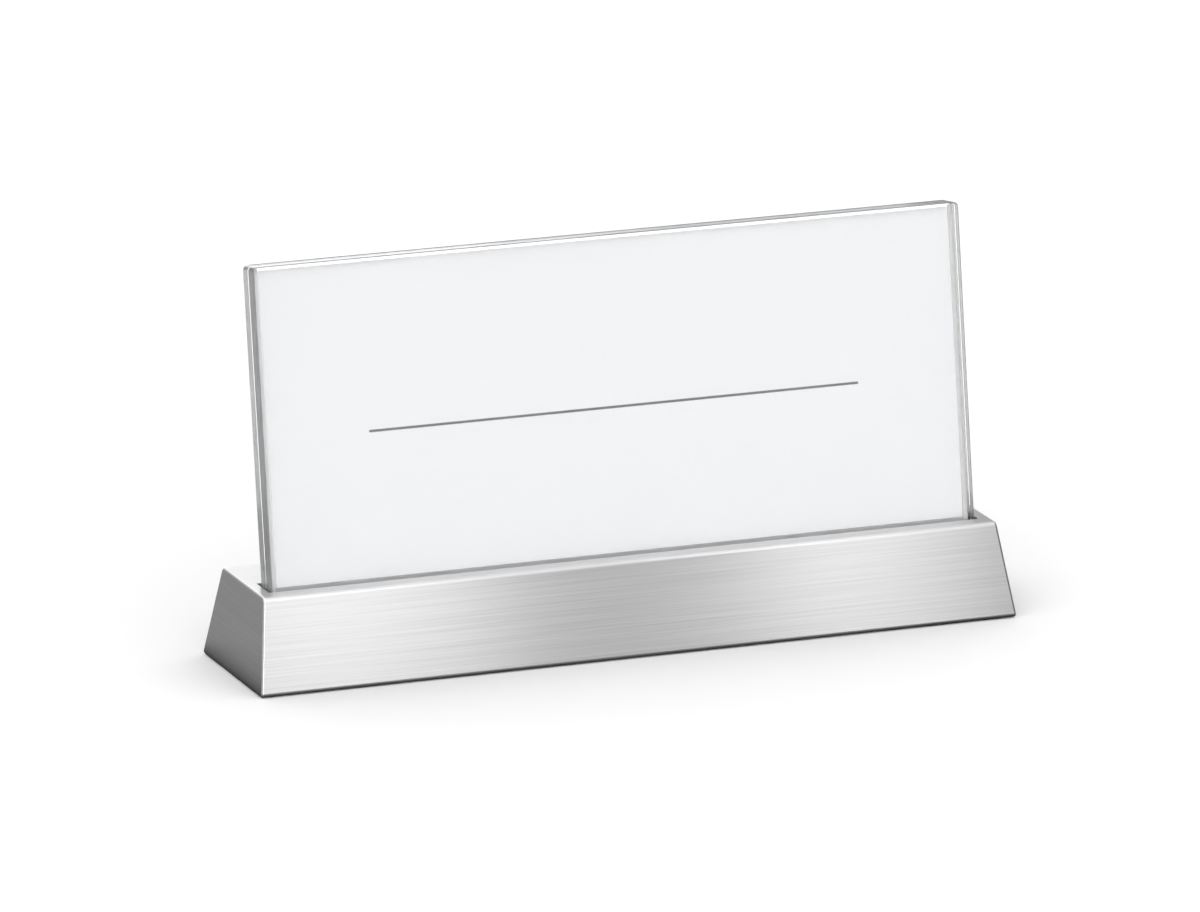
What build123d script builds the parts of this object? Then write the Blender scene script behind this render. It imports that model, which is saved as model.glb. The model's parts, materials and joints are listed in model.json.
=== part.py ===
from build123d import *
import os
from math import atan2, cos, radians, sin, tan

# Desk name plate: a clear holder with a slip-in card, leaning back in the slot of a weighted steel base.
# Millimetres. +X runs along the plate, +Y to the back, +Z up.
# The origin lies on the desk, under the centre of the base.

# Card, cut to the width of an A4 sheet
card_width = 210.0
card_height = 90.0
card_thickness = 0.3

# Holder: two clear panes, bonded to three strips that leave a pocket open at the top
# The bottom strip fills the part that stands in the slot, so that the whole card shows
pane_thickness = 4.15
pane_gap = 0.5
pane_corner_radius = 1.5
pane_edge_break = 0.3
spacer_width = 1.4
spacer_inset = 0.9
bottom_spacer_height = 10.3
card_side_clearance = 0.2
card_bottom_clearance = 0.1
card_top_margin = 1.4
lean_degrees = 8.7

# Base cover: folded sheet, wider at its lower rim than at its top
base_height = 27.2
rim_gap = 0.25
sheet = 1.5
front_land = 5.0
back_land = 19.7
end_land = 3.5
face_run = 7.7
end_run = 3.5
fold_radius = 1.5
rim_radius = 1.0
edge_radius = 0.5
slot_gap = 0.7
slot_end_gap = 1.0
slot_corner_radius = 0.6

# Channel under the slot: a floor strip, two leaning rails with grip strips, and a stop at each end
slot_depth = 10.8
rail_thickness = 1.5
floor_thickness = 1.5
stop_thickness = 1.5
stop_gap = 0.4
grip_thickness = 0.5
grip_clearance = 0.05
grip_margin = 1.2
grip_end_margin = 8.0
seat_clearance = 0.05
boss_radius = 3.5
boss_end_inset = 25.0
boss_tip_room = 1.0

# Bottom plate, feet, end blocks and ballast
plate_thickness = 2.0
plate_recess = 1.0
plate_clearance = 0.3
plate_corner_radius = 1.0
foot_radius = 5.0
foot_end_inset = 18.0
foot_side_inset = 8.0
foot_edge_radius = 0.4
block_width = 9.0
block_headroom = 2.0
block_screw_margin = 6.0
cover_screw_spacing = 16.0
cover_screw_grip = 6.0
ballast_gap = 1.0
ballast_end_room = 18.0
ballast_headroom = 6.0
ballast_screw_inset = 25.0
ballast_screw_grip = 8.0

# Countersunk screws, one size throughout
screw_radius = 1.5
screw_head_radius = 3.0
screw_clearance = 0.2
head_clearance = 0.05
thread_clearance = 0.05
countersink_degrees = 90.0
socket_radius = 1.15
socket_depth = 0.9

# Sizes that follow
lean = radians(lean_degrees)
holder_width = card_width + 2 * (card_side_clearance + spacer_width + spacer_inset)
holder_thickness = 2 * pane_thickness + pane_gap
card_rest = spacer_inset + bottom_spacer_height + card_bottom_clearance
holder_height = card_rest + card_height + card_top_margin

slot_length = holder_width + 2 * slot_end_gap
slot_width = holder_thickness / cos(lean) + 2 * slot_gap
top_length = slot_length + 2 * end_land
top_depth = front_land + slot_width + back_land
base_length = top_length + 2 * end_run
base_depth = top_depth + 2 * face_run
slot_y = front_land + slot_width / 2 - top_depth / 2
top_underside = base_height - sheet
face_slope = atan2(face_run, base_height - rim_gap)
end_slope = atan2(end_run, base_height - rim_gap)

plate_bottom = rim_gap + plate_recess
plate_top = plate_bottom + plate_thickness
head_height = (screw_head_radius - screw_radius) / tan(radians(countersink_degrees / 2))
thread_hole_radius = screw_radius + thread_clearance

# Lower front edge of the holder, seen from the end as (y, z)
foot_y = slot_y - slot_width / 2 + slot_gap - slot_depth * sin(lean)
foot_z = base_height - slot_depth * cos(lean)
holder_plane = Plane(origin=(0, foot_y, foot_z), x_dir=(1, 0, 0), z_dir=(0, -cos(lean), sin(lean)))


# Place a point that lies behind the holder's front face and above its lower edge, as (y, z).
def lean_point(behind, above):
    y = foot_y + behind * cos(lean) + above * sin(lean)
    z = foot_z - behind * sin(lean) + above * cos(lean)
    return (y, z)


# Follow the lean, at a distance behind the holder's front face, to a given height.
def lean_at_height(behind, z):
    above = (z - foot_z + behind * sin(lean)) / cos(lean)
    return lean_point(behind, above)


# Inside length and depth of the sloping cover at a given height.
def inner_length(z):
    outer = top_length + 2 * (base_height - z) * tan(end_slope)
    return outer - 2 * sheet / cos(end_slope)


def inner_depth(z):
    outer = top_depth + 2 * (base_height - z) * tan(face_slope)
    return outer - 2 * sheet / cos(face_slope)


grip_room = grip_thickness + grip_clearance
grip_back = holder_thickness + grip_room
rail_front = -(grip_room + rail_thickness)
rail_back = grip_back + rail_thickness
stop_inner_x = holder_width / 2 + stop_gap
channel_length = 2 * (stop_inner_x + stop_thickness)
channel_bottom_z = lean_point(rail_back, -(seat_clearance + floor_thickness))[1]

plate_length = inner_length(plate_top) - 2 * plate_clearance
plate_depth = inner_depth(plate_top) - 2 * plate_clearance
block_top = channel_bottom_z - block_headroom
block_depth = cover_screw_spacing + 2 * block_screw_margin
block_outer_x = inner_length(plate_top) / 2
block_screw_x = block_outer_x - block_width / 2

ballast_top = top_underside - ballast_headroom
ballast_height = ballast_top - plate_top
ballast_front_y = lean_at_height(rail_back, ballast_top)[0] + ballast_gap
ballast_back_y = inner_depth(ballast_top) / 2 - ballast_gap
ballast_y = (ballast_front_y + ballast_back_y) / 2
ballast_length = plate_length - 2 * ballast_end_room

boss_x = channel_length / 2 - boss_end_inset
boss_y, boss_top = lean_point(holder_thickness / 2, -seat_clearance)
boss_drill = boss_top - floor_thickness / cos(lean) - boss_tip_room - plate_top
ballast_screw_x = ballast_length / 2 - ballast_screw_inset

# Screw positions in plan
cover_screw_points = [(x, y) for x in (-block_screw_x, block_screw_x)
                      for y in (-cover_screw_spacing / 2, cover_screw_spacing / 2)]
channel_screw_points = [(x, boss_y) for x in (-boss_x, 0, boss_x)]
ballast_screw_points = [(x, ballast_y) for x in (-ballast_screw_x, ballast_screw_x)]
screw_points = cover_screw_points + channel_screw_points + ballast_screw_points

on_floor = (Align.CENTER, Align.CENTER, Align.MIN)
os.makedirs("parts", exist_ok=True)

# Base cover: sloping outside, hollow inside, slot through the top
# Its long edges are folds and a rolled rim, and its ends are crisper
with BuildPart() as base_cover:
    with BuildSketch(Plane.XY.offset(rim_gap)):
        Rectangle(base_length, base_depth)
    with BuildSketch(Plane.XY.offset(base_height)):
        Rectangle(top_length, top_depth)
    loft()
    fillet(base_cover.edges().filter_by(Axis.X).group_by(Axis.Z)[-1], radius=fold_radius)
    fillet(base_cover.edges().filter_by(Axis.X).group_by(Axis.Z)[0], radius=rim_radius)
    fillet(base_cover.edges().filter_by(Axis.X, reverse=True), radius=edge_radius)
    with BuildSketch(Plane.XY.offset(rim_gap)):
        Rectangle(inner_length(rim_gap), inner_depth(rim_gap))
    with BuildSketch(Plane.XY.offset(top_underside)):
        Rectangle(inner_length(top_underside), inner_depth(top_underside))
    loft(mode=Mode.SUBTRACT)
    with BuildSketch(Plane.XY.offset(base_height)):
        with Locations((0, slot_y)):
            RectangleRounded(slot_length, slot_width, slot_corner_radius)
    extrude(amount=-2 * sheet, mode=Mode.SUBTRACT)
base_cover.part.label = "base_cover"
export_step(base_cover.part, "parts/base_cover.step")

# End blocks: threaded, each welded to the inside of one end wall
for side, direction in (("left", -1), ("right", 1)):
    with BuildPart() as end_block:
        with BuildSketch(Plane.XZ):
            with BuildLine():
                Polyline(
                    (direction * (block_outer_x - block_width), plate_top),
                    (direction * block_outer_x, plate_top),
                    (direction * inner_length(block_top) / 2, block_top),
                    (direction * (block_outer_x - block_width), block_top),
                    close=True,
                )
            make_face()
        extrude(amount=block_depth / 2, both=True)
        with BuildSketch(Plane.XY.offset(plate_top)):
            with Locations((direction * block_screw_x, 0)):
                with GridLocations(0, cover_screw_spacing, 1, 2):
                    Circle(thread_hole_radius)
        extrude(amount=block_top - plate_top, mode=Mode.SUBTRACT)
    end_block.part.label = f"{side}_end_block"
    export_step(end_block.part, f"parts/{side}_end_block.step")

# Bottom plate: closes the underside, countersunk for every screw
with BuildPart() as bottom_plate:
    with BuildSketch(Plane.XY.offset(plate_bottom)):
        RectangleRounded(plate_length, plate_depth, plate_corner_radius)
    extrude(amount=plate_thickness)
    with Locations(*[Location((x, y, plate_bottom), (180, 0, 0)) for x, y in screw_points]):
        CounterSinkHole(
            radius=screw_radius + screw_clearance,
            counter_sink_radius=screw_head_radius + head_clearance,
            depth=plate_thickness,
            counter_sink_angle=countersink_degrees,
        )
bottom_plate.part.label = "bottom_plate"
export_step(bottom_plate.part, "parts/bottom_plate.step")


# Countersunk screws with a hexagon socket, heads flush with the plate's underside.
def countersunk_screws(points, length):
    with BuildPart() as screws:
        with Locations(*[(x, y, plate_bottom) for x, y in points]):
            Cone(screw_head_radius, screw_radius, head_height, align=on_floor)
            Cylinder(screw_radius, length, align=on_floor)
        with BuildSketch(Plane.XY.offset(plate_bottom)):
            with Locations(*points):
                RegularPolygon(socket_radius, side_count=6)
        extrude(amount=socket_depth, mode=Mode.SUBTRACT)
    return screws


cover_screws = countersunk_screws(cover_screw_points, plate_thickness + cover_screw_grip)
cover_screws.part.label = "cover_screws"
export_step(cover_screws.part, "parts/cover_screws.step")

channel_screws = countersunk_screws(channel_screw_points, plate_thickness + boss_drill)
channel_screws.part.label = "channel_screws"
export_step(channel_screws.part, "parts/channel_screws.step")

ballast_screws = countersunk_screws(ballast_screw_points, plate_thickness + ballast_screw_grip)
ballast_screws.part.label = "ballast_screws"
export_step(ballast_screws.part, "parts/ballast_screws.step")

# Feet: soft discs bonded to the plate's underside, standing just below the cover's rim
foot_x = plate_length / 2 - foot_end_inset
foot_y_out = plate_depth / 2 - foot_side_inset
for name, x, y in (
    ("front_left_foot", -foot_x, -foot_y_out),
    ("front_right_foot", foot_x, -foot_y_out),
    ("rear_left_foot", -foot_x, foot_y_out),
    ("rear_right_foot", foot_x, foot_y_out),
):
    with BuildPart() as foot:
        with Locations((x, y, 0)):
            Cylinder(foot_radius, plate_bottom, align=on_floor)
        fillet(foot.edges().group_by(Axis.Z)[0], radius=foot_edge_radius)
    foot.part.label = name
    export_step(foot.part, f"parts/{name}.step")

# Ballast bar: fills the room behind the channel, screwed down to the plate
with BuildPart() as ballast_bar:
    with BuildSketch(Plane.XY.offset(plate_top)):
        with Locations((0, ballast_y)):
            Rectangle(ballast_length, ballast_back_y - ballast_front_y)
    extrude(amount=ballast_height)
    with BuildSketch(Plane.XY.offset(plate_top)):
        with Locations(*ballast_screw_points):
            Circle(thread_hole_radius)
    extrude(amount=ballast_height, mode=Mode.SUBTRACT)
ballast_bar.part.label = "ballast_bar"
export_step(ballast_bar.part, "parts/ballast_bar.step")

# Channel floor: the strip that the holder stands on, with bosses down to the plate
with BuildPart() as channel_floor:
    with BuildSketch(Plane.YZ):
        with BuildLine():
            Polyline(
                lean_point(rail_front, -seat_clearance),
                lean_point(rail_front, -(seat_clearance + floor_thickness)),
                lean_point(rail_back, -(seat_clearance + floor_thickness)),
                lean_point(rail_back, -seat_clearance),
                close=True,
            )
        make_face()
    extrude(amount=channel_length / 2, both=True)
    with BuildSketch(Plane.XY.offset(plate_top)):
        with Locations(*channel_screw_points):
            Circle(boss_radius)
    extrude(amount=boss_top - plate_top)
    split(bisect_by=Plane(holder_plane.origin, z_dir=(0, -sin(lean), -cos(lean))).offset(seat_clearance))
    with BuildSketch(Plane.XY.offset(plate_top)):
        with Locations(*channel_screw_points):
            Circle(thread_hole_radius)
    extrude(amount=boss_drill, mode=Mode.SUBTRACT)
channel_floor.part.label = "channel_floor"
export_step(channel_floor.part, "parts/channel_floor.step")

# Rails: leaning walls bonded to the floor strip, in front of the holder and behind it
for name, front, back in (
    ("front_rail", rail_front, -grip_room),
    ("rear_rail", grip_back, rail_back),
):
    with BuildPart() as rail:
        with BuildSketch(Plane.YZ):
            with BuildLine():
                Polyline(
                    lean_point(front, -seat_clearance),
                    lean_point(back, -seat_clearance),
                    lean_at_height(back, top_underside),
                    lean_at_height(front, top_underside),
                    close=True,
                )
            make_face()
        extrude(amount=channel_length / 2, both=True)
    rail.part.label = name
    export_step(rail.part, f"parts/{name}.step")

# End stops: close the channel between the rails, just clear of the holder's ends
for side, direction in (("left", -1), ("right", 1)):
    with BuildPart() as end_stop:
        with BuildSketch(Plane.YZ.offset(direction * (stop_inner_x + stop_thickness / 2))):
            with BuildLine():
                Polyline(
                    lean_point(-grip_room, -seat_clearance),
                    lean_point(grip_back, -seat_clearance),
                    lean_at_height(grip_back, top_underside),
                    lean_at_height(-grip_room, top_underside),
                    close=True,
                )
            make_face()
        extrude(amount=stop_thickness / 2, both=True)
    end_stop.part.label = f"{side}_end_stop"
    export_step(end_stop.part, f"parts/{side}_end_stop.step")

# Grip strips: bonded to the rails, one in front of the holder and one behind it
grip_length = holder_width - 2 * grip_end_margin
grip_height = slot_depth - sheet / cos(lean) - 2 * grip_margin
for name, behind in (
    ("front_grip_strip", -grip_room),
    ("rear_grip_strip", holder_thickness + grip_clearance),
):
    with BuildPart() as grip_strip:
        with BuildSketch(holder_plane.offset(-behind)):
            with Locations((0, grip_margin)):
                Rectangle(grip_length, grip_height, align=(Align.CENTER, Align.MIN))
        extrude(amount=-grip_thickness)
    grip_strip.part.label = name
    export_step(grip_strip.part, f"parts/{name}.step")

# Panes: polished, with rounded corners and a broken edge round their outer faces
forward = Axis(holder_plane.origin, holder_plane.z_dir)
for name, behind, outermost in (
    ("front_pane", 0, -1),
    ("rear_pane", pane_thickness + pane_gap, 0),
):
    with BuildPart() as pane:
        with BuildSketch(holder_plane.offset(-behind)):
            with Locations((0, holder_height / 2)):
                RectangleRounded(holder_width, holder_height, pane_corner_radius)
        extrude(amount=-pane_thickness)
        outer_face = pane.faces().sort_by(forward)[outermost]
        chamfer(outer_face.edges(), length=pane_edge_break)
    pane.part.label = name
    export_step(pane.part, f"parts/{name}.step")

# Spacer strips: left, right and bottom, bonded between the panes
side_spacer_x = holder_width / 2 - spacer_inset - spacer_width / 2
side_spacer_height = holder_height - 2 * spacer_inset
bottom_spacer_length = holder_width - 2 * (spacer_inset + spacer_width)
for name, x, width, height in (
    ("left_spacer", -side_spacer_x, spacer_width, side_spacer_height),
    ("right_spacer", side_spacer_x, spacer_width, side_spacer_height),
    ("bottom_spacer", 0, bottom_spacer_length, bottom_spacer_height),
):
    with BuildPart() as spacer:
        with BuildSketch(holder_plane.offset(-pane_thickness)):
            with Locations((x, spacer_inset)):
                Rectangle(width, height, align=(Align.CENTER, Align.MIN))
        extrude(amount=-pane_gap)
    spacer.part.label = name
    export_step(spacer.part, f"parts/{name}.step")

# Insert card: stands on the bottom strip, midway between the panes
with BuildPart() as insert_card:
    with BuildSketch(holder_plane.offset(-(holder_thickness - card_thickness) / 2)):
        with Locations((0, card_rest)):
            Rectangle(card_width, card_height, align=(Align.CENTER, Align.MIN))
    extrude(amount=-card_thickness)
insert_card.part.label = "insert_card"
export_step(insert_card.part, "parts/insert_card.step")
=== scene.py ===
import json
import math

import bmesh
import bpy
from mathutils import Matrix, Vector


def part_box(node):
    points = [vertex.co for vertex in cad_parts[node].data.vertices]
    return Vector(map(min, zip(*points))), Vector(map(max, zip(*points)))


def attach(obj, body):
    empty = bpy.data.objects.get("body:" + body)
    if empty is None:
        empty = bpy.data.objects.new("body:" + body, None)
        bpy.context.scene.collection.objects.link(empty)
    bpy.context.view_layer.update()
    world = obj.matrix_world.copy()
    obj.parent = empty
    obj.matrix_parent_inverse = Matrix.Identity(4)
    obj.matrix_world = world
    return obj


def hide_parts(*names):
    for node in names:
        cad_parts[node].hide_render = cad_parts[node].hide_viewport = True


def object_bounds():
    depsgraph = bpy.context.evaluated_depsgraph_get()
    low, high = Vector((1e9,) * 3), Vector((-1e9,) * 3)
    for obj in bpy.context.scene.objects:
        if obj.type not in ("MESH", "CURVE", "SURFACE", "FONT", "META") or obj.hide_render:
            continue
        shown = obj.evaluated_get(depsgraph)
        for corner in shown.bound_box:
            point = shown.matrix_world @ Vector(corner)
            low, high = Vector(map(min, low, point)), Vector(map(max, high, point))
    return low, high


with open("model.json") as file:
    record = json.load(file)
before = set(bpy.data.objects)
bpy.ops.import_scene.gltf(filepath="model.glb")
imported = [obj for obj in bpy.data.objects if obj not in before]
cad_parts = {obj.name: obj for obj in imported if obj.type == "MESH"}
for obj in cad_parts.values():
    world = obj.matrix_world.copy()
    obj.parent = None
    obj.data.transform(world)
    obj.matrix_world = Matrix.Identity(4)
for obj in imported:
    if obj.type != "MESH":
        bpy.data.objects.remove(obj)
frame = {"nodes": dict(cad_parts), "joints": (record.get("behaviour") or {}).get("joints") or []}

# Desk name plate: brushed steel base, clear leaning holder, slip-in card. Metres, in the CAD's own frame.
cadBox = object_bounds()
mm = 0.001
touching = 1e-6  # points closer than this are in the same place
weldGap = 0.0005 * mm  # points closer than this are made one
mostly = 0.7  # a normal with this much of an axis in it points that way
scene = bpy.context.scene
nodes = frame["nodes"]
lift = next(joint for joint in frame["joints"] if joint["name"] == "holder_lift")
leanUp = Vector(lift["axis"]).normalized()  # the way the holder lifts out
leanBack = Vector((0, leanUp.z, -leanUp.y))  # square to the panes, away from the reader
leanFrame = Matrix(((1, 0, 0), leanBack, leanUp)).transposed()  # (x, behind, above) to the CAD's frame


class Wire:  # a node socket: arithmetic on it adds Math nodes, and add() makes any other node
    def __init__(self, tree, socket=None):
        self.tree = tree
        self.socket = socket

    def add(self, kind, settings=None, values=None, output=0):
        node = self.tree.nodes.new(kind)
        for name, setting in (settings or {}).items():
            if name == "stops":
                setStops(node.color_ramp.elements, setting)
            else:
                setattr(node, name, setting)
        for key, value in (values or {}).items():
            for item in value if isinstance(value, list) else [value]:
                if isinstance(item, Wire):
                    self.tree.links.new(item.socket, node.inputs[key])
                else:
                    node.inputs[key].default_value = item
        return Wire(self.tree, node.outputs[output] if node.outputs else None)

    def out(self, name):  # another output of the same node
        return Wire(self.tree, self.socket.node.outputs[name])

    def maths(self, operation, first, second=0.0, clamp=False):
        settings = {"operation": operation, "use_clamp": clamp}
        return self.add("ShaderNodeMath", settings, {0: first, 1: second})

    def __add__(self, other):
        return self.maths("ADD", self, other)

    def __radd__(self, other):
        return self.maths("ADD", other, self)

    def __sub__(self, other):
        return self.maths("SUBTRACT", self, other)

    def __rsub__(self, other):
        return self.maths("SUBTRACT", other, self)

    def __mul__(self, other):
        return self.maths("MULTIPLY", self, other)

    def __rmul__(self, other):
        return self.maths("MULTIPLY", other, self)

    def __truediv__(self, other):
        return self.maths("DIVIDE", self, other)

    def __rtruediv__(self, other):
        return self.maths("DIVIDE", other, self)

    def clamped(self):
        return self.maths("ADD", self, 0.0, clamp=True)

    def risen(self, start, span):  # 0 up to the start, 1 from a span above it
        return ((self - start) / span).clamped()

    def fallen(self, start, span):  # 0 down to the start, 1 from a span below it
        return ((start - self) / span).clamped()

    def fraction(self):
        return self.maths("FRACT", self)

    def size(self):
        return self.maths("ABSOLUTE", self)

    def sine(self):
        return self.maths("SINE", self)

    def cosine(self):
        return self.maths("COSINE", self)


def setStops(elements, stops):
    while len(elements) < len(stops):
        elements.new(1.0)
    for element, (position, level) in zip(elements, stops):
        element.position = position
        element.color = (level, level, level, 1.0)


def stretched(coords, lengths):  # one pattern unit for each of these lengths
    rates = tuple(1 / length if length else 0.0 for length in lengths)
    return coords.add("ShaderNodeVectorMath", {"operation": "MULTIPLY"}, {0: coords, 1: rates})


def noise(coords, lengths, detail=2.0, roughness=0.5):
    values = {"Vector": stretched(coords, lengths), "Scale": 1.0, "Detail": detail, "Roughness": roughness}
    return coords.add("ShaderNodeTexNoise", {}, values)


def cloudy(coords, length, detail=2.0):  # noise that runs no special way
    return noise(coords, (length, length, length), detail)


def blended(factor, low, high):  # two colours
    colours = {0: factor, 6: (*low, 1), 7: (*high, 1)}
    return factor.add("ShaderNodeMix", {"data_type": "RGBA"}, colours, output=2)


def bumped(height, depth):
    return height.add("ShaderNodeBump", {}, {"Height": height, "Strength": 1.0, "Distance": depth})


def newMaterial(name):
    material = bpy.data.materials.new(name)
    material.use_nodes = True
    material.node_tree.nodes.clear()
    return material, Wire(material.node_tree)


def surface(wire, values):
    shader = wire.add("ShaderNodeBsdfPrincipled", {}, values)
    wire.add("ShaderNodeOutputMaterial", {}, {"Surface": shader})


def objectCoords(wire):
    return wire.add("ShaderNodeTexCoord", {}, {}, output="Object")


def leanBox(node):  # a node's corners as (x, behind, above)
    spots = [leanFrame.transposed() @ vertex.co for vertex in nodes[node].data.vertices]
    low = Vector([min(spot[axis] for spot in spots) for axis in range(3)])
    high = Vector([max(spot[axis] for spot in spots) for axis in range(3)])
    return low, high


def addPiece(name, mesh, materials, body, replaced=()):
    piece = bpy.data.objects.new(name, mesh)
    scene.collection.objects.link(piece)
    mesh.materials.clear()
    for material in materials:
        mesh.materials.append(material)
    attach(piece, body)
    if replaced:
        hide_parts(*replaced)
    print("piece:", name, len(mesh.polygons), "faces, rides", body)


def paint(material, *names):  # a CAD node keeps its mesh and takes this finish
    for name in names:
        nodes[name].data.materials.clear()
        nodes[name].data.materials.append(material)


def shadedMesh(name, bm, sharpAngle=180):  # smooth, with normals that leave the large faces flat
    bmesh.ops.recalc_face_normals(bm, faces=bm.faces)
    for face in bm.faces:
        face.smooth = True
    mesh = bpy.data.meshes.new(name)
    bm.to_mesh(mesh)
    bm.free()
    mesh.set_sharp_from_angle(angle=math.radians(sharpAngle))
    carrier = bpy.data.objects.new(name + ".carrier", mesh)
    scene.collection.objects.link(carrier)
    weighted = carrier.modifiers.new("weighted", "WEIGHTED_NORMAL")
    weighted.keep_sharp = True
    settled = settledMesh(carrier)
    bpy.data.objects.remove(carrier)
    return settled


def settledMesh(carrier):  # what the modifiers make, as a plain mesh
    depsgraph = bpy.context.evaluated_depsgraph_get()
    return bpy.data.meshes.new_from_object(
        carrier.evaluated_get(depsgraph), preserve_all_data_layers=True, depsgraph=depsgraph
    )


def nodeTree(name, sizes):  # a Geometry Nodes tree with a named input for each size
    tree = bpy.data.node_groups.new(name, "GeometryNodeTree")
    tree.interface.new_socket("Geometry", in_out="INPUT", socket_type="NodeSocketGeometry")
    tree.interface.new_socket("Geometry", in_out="OUTPUT", socket_type="NodeSocketGeometry")
    for key in sizes:
        tree.interface.new_socket(key, in_out="INPUT", socket_type="NodeSocketFloat")
    start = Wire(tree).add("NodeGroupInput")
    return start, {key: start.out(key) for key in sizes}


def endTree(shape, material):
    real = shape.add("GeometryNodeRealizeInstances", {}, {0: shape})
    merged = real.add("GeometryNodeMergeByDistance", {}, {"Geometry": real, "Distance": weldGap})
    painted = merged.add("GeometryNodeSetMaterial", {}, {"Geometry": merged, "Material": material})
    painted.add("NodeGroupOutput", {}, {0: painted})


def runTree(name, tree, sizes, points, sharpAngle=35):  # grow the tree on some points
    mesh = bpy.data.meshes.new(name)
    mesh.from_pydata(points, [], [])
    carrier = bpy.data.objects.new(name + ".carrier", mesh)
    scene.collection.objects.link(carrier)
    grown = carrier.modifiers.new("grown", "NODES")
    grown.node_group = tree
    for item in tree.interface.items_tree:
        if item.in_out == "INPUT" and item.name in sizes:
            grown[item.identifier] = sizes[item.name]
    settled = settledMesh(carrier)
    bpy.data.objects.remove(carrier)
    settled.polygons.foreach_set("use_smooth", [True] * len(settled.polygons))
    settled.set_sharp_from_angle(angle=math.radians(sharpAngle))
    return settled


def stations(row, levels):  # straight runs through the levels, one for each row
    total = levels[0]
    for index in range(len(levels) - 1):
        share = (row - index).clamped()
        total = share * (levels[index + 1] - levels[index]) + total
    return total


def turned(start, around, rows):  # a grid to wrap round the Z axis: its geometry, turn and row
    grid = start.add("GeometryNodeMeshGrid", {}, {0: 1.0, 1: 1.0, 2: around, 3: rows})
    place = start.add("GeometryNodeInputPosition")
    across = place.add("ShaderNodeSeparateXYZ", {}, {0: place})
    return grid, across + 0.5, (across.out("Y") + 0.5) * (rows - 1)


def wrapped(grid, turn, radius, height):
    angle = turn * math.tau
    place = {0: radius * angle.cosine(), 1: radius * angle.sine(), 2: height}
    spot = grid.add("ShaderNodeCombineXYZ", {}, place)
    return grid.add("GeometryNodeSetPosition", {}, {"Geometry": grid, "Position": spot})


# Base cover: folded brushed sheet with a slot in its top
coverLook = {
    "bottomLength": 230.99 * mm,
    "bottomDepth": 50.40 * mm,
    "topLength": 224.0 * mm,
    "topDepth": 35.002 * mm,
    "sheet": 1.5 * mm,
    "foldRadius": 1.5 * mm,  # along the top
    "rimRadius": 1.0 * mm,  # along the foot
    "foldSteps": 10,
    "edgeRadius": 0.7 * mm,  # round the ends
    "edgeSteps": 5,
    "slotLength": 217.0 * mm,
    "slotWidth": 10.302 * mm,
    "slotFront": 5.0 * mm,  # land in front of the slot
    "slotCorner": 0.6 * mm,
    "slotCornerSteps": 5,
    "slotBreak": 0.12 * mm,
    "slotBreakSteps": 2,
    "sharpAngle": 50,
    "tint": (0.77, 0.77, 0.775),
    "streakTint": (0.63, 0.63, 0.636),
    "contrast": 2.0,
    "roughness": 0.315,
    "streakRough": 0.05,
    "hazeRough": 0.02,
    "hazeSize": 60 * mm,
    "anisotropy": 0.97,
    "brushTurn": 0.25,  # blurs across the brushing
    "longGrain": (90 * mm, 0.8 * mm),
    "fineGrain": (40 * mm, 0.38 * mm),
    "grainDepth": 0.001 * mm,
    "endGrain": 3.0,  # how much finer the ends are brushed
    "sideStretch": 1.04,  # a sloping side is this much longer than it is high
    "endShift": 0.4,  # metres along the pattern, so that no two faces share their streaks
    "topShift": 0.2,
    "sideShift": 0.6,
    "tangentFrom": (0, 1000, 0),  # so far off that the shader's tangent runs along X all over
}
corners = ((-1, -1), (1, -1), (1, 1), (-1, 1))


def brushedSteel(look):
    material, wire = newMaterial("brushedSteel")
    grain = wire.add("ShaderNodeUVMap", {"uv_map": "grain"})  # metres along and across the brushing
    longStreaks = noise(grain, (*look["longGrain"], 0), detail=1.0)
    fineStreaks = noise(grain, (*look["fineGrain"], 0), detail=0.0)
    streaks = longStreaks * 0.5 + fineStreaks * 0.5
    contrast = ((streaks - 0.5) * look["contrast"] + 0.5).clamped()
    haze = cloudy(objectCoords(wire), look["hazeSize"])
    rough = look["roughness"] + (streaks - 0.5) * look["streakRough"]
    surface(wire, {
        "Base Color": blended(contrast, look["streakTint"], look["tint"]),
        "Metallic": 1.0,
        "Roughness": rough + (haze - 0.5) * look["hazeRough"],
        "Anisotropic": look["anisotropy"],
        "Anisotropic Rotation": look["brushTurn"],
        "Normal": bumped(streaks, look["grainDepth"]),
    })
    return material


def ring(bm, length, depth, centreY, height):
    return [bm.verts.new((x * length / 2, centreY + y * depth / 2, height)) for x, y in corners]


def opened(bm, face):  # takes a level face out and gives its corners as a ring
    ends = [max(face.verts, key=lambda vert: vert.co.x * x + vert.co.y * y) for x, y in corners]
    bm.faces.remove(face)
    return ends


def bridge(bm, first, second):
    for index in range(len(first)):
        after = (index + 1) % len(first)
        bm.faces.new((first[index], first[after], second[after], second[index]))


def edgesBetween(bm, verts):
    chosen = set(verts)
    return [edge for edge in bm.edges if edge.verts[0] in chosen and edge.verts[1] in chosen]


def runsAlong(edge, axis, share=0.9):
    step = edge.verts[1].co - edge.verts[0].co
    return abs(step[axis]) > share * step.length


def rounded(bm, edges, offset, steps):
    bmesh.ops.bevel(bm, geom=edges, offset=offset, segments=steps, profile=0.5, affect="EDGES")


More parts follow.
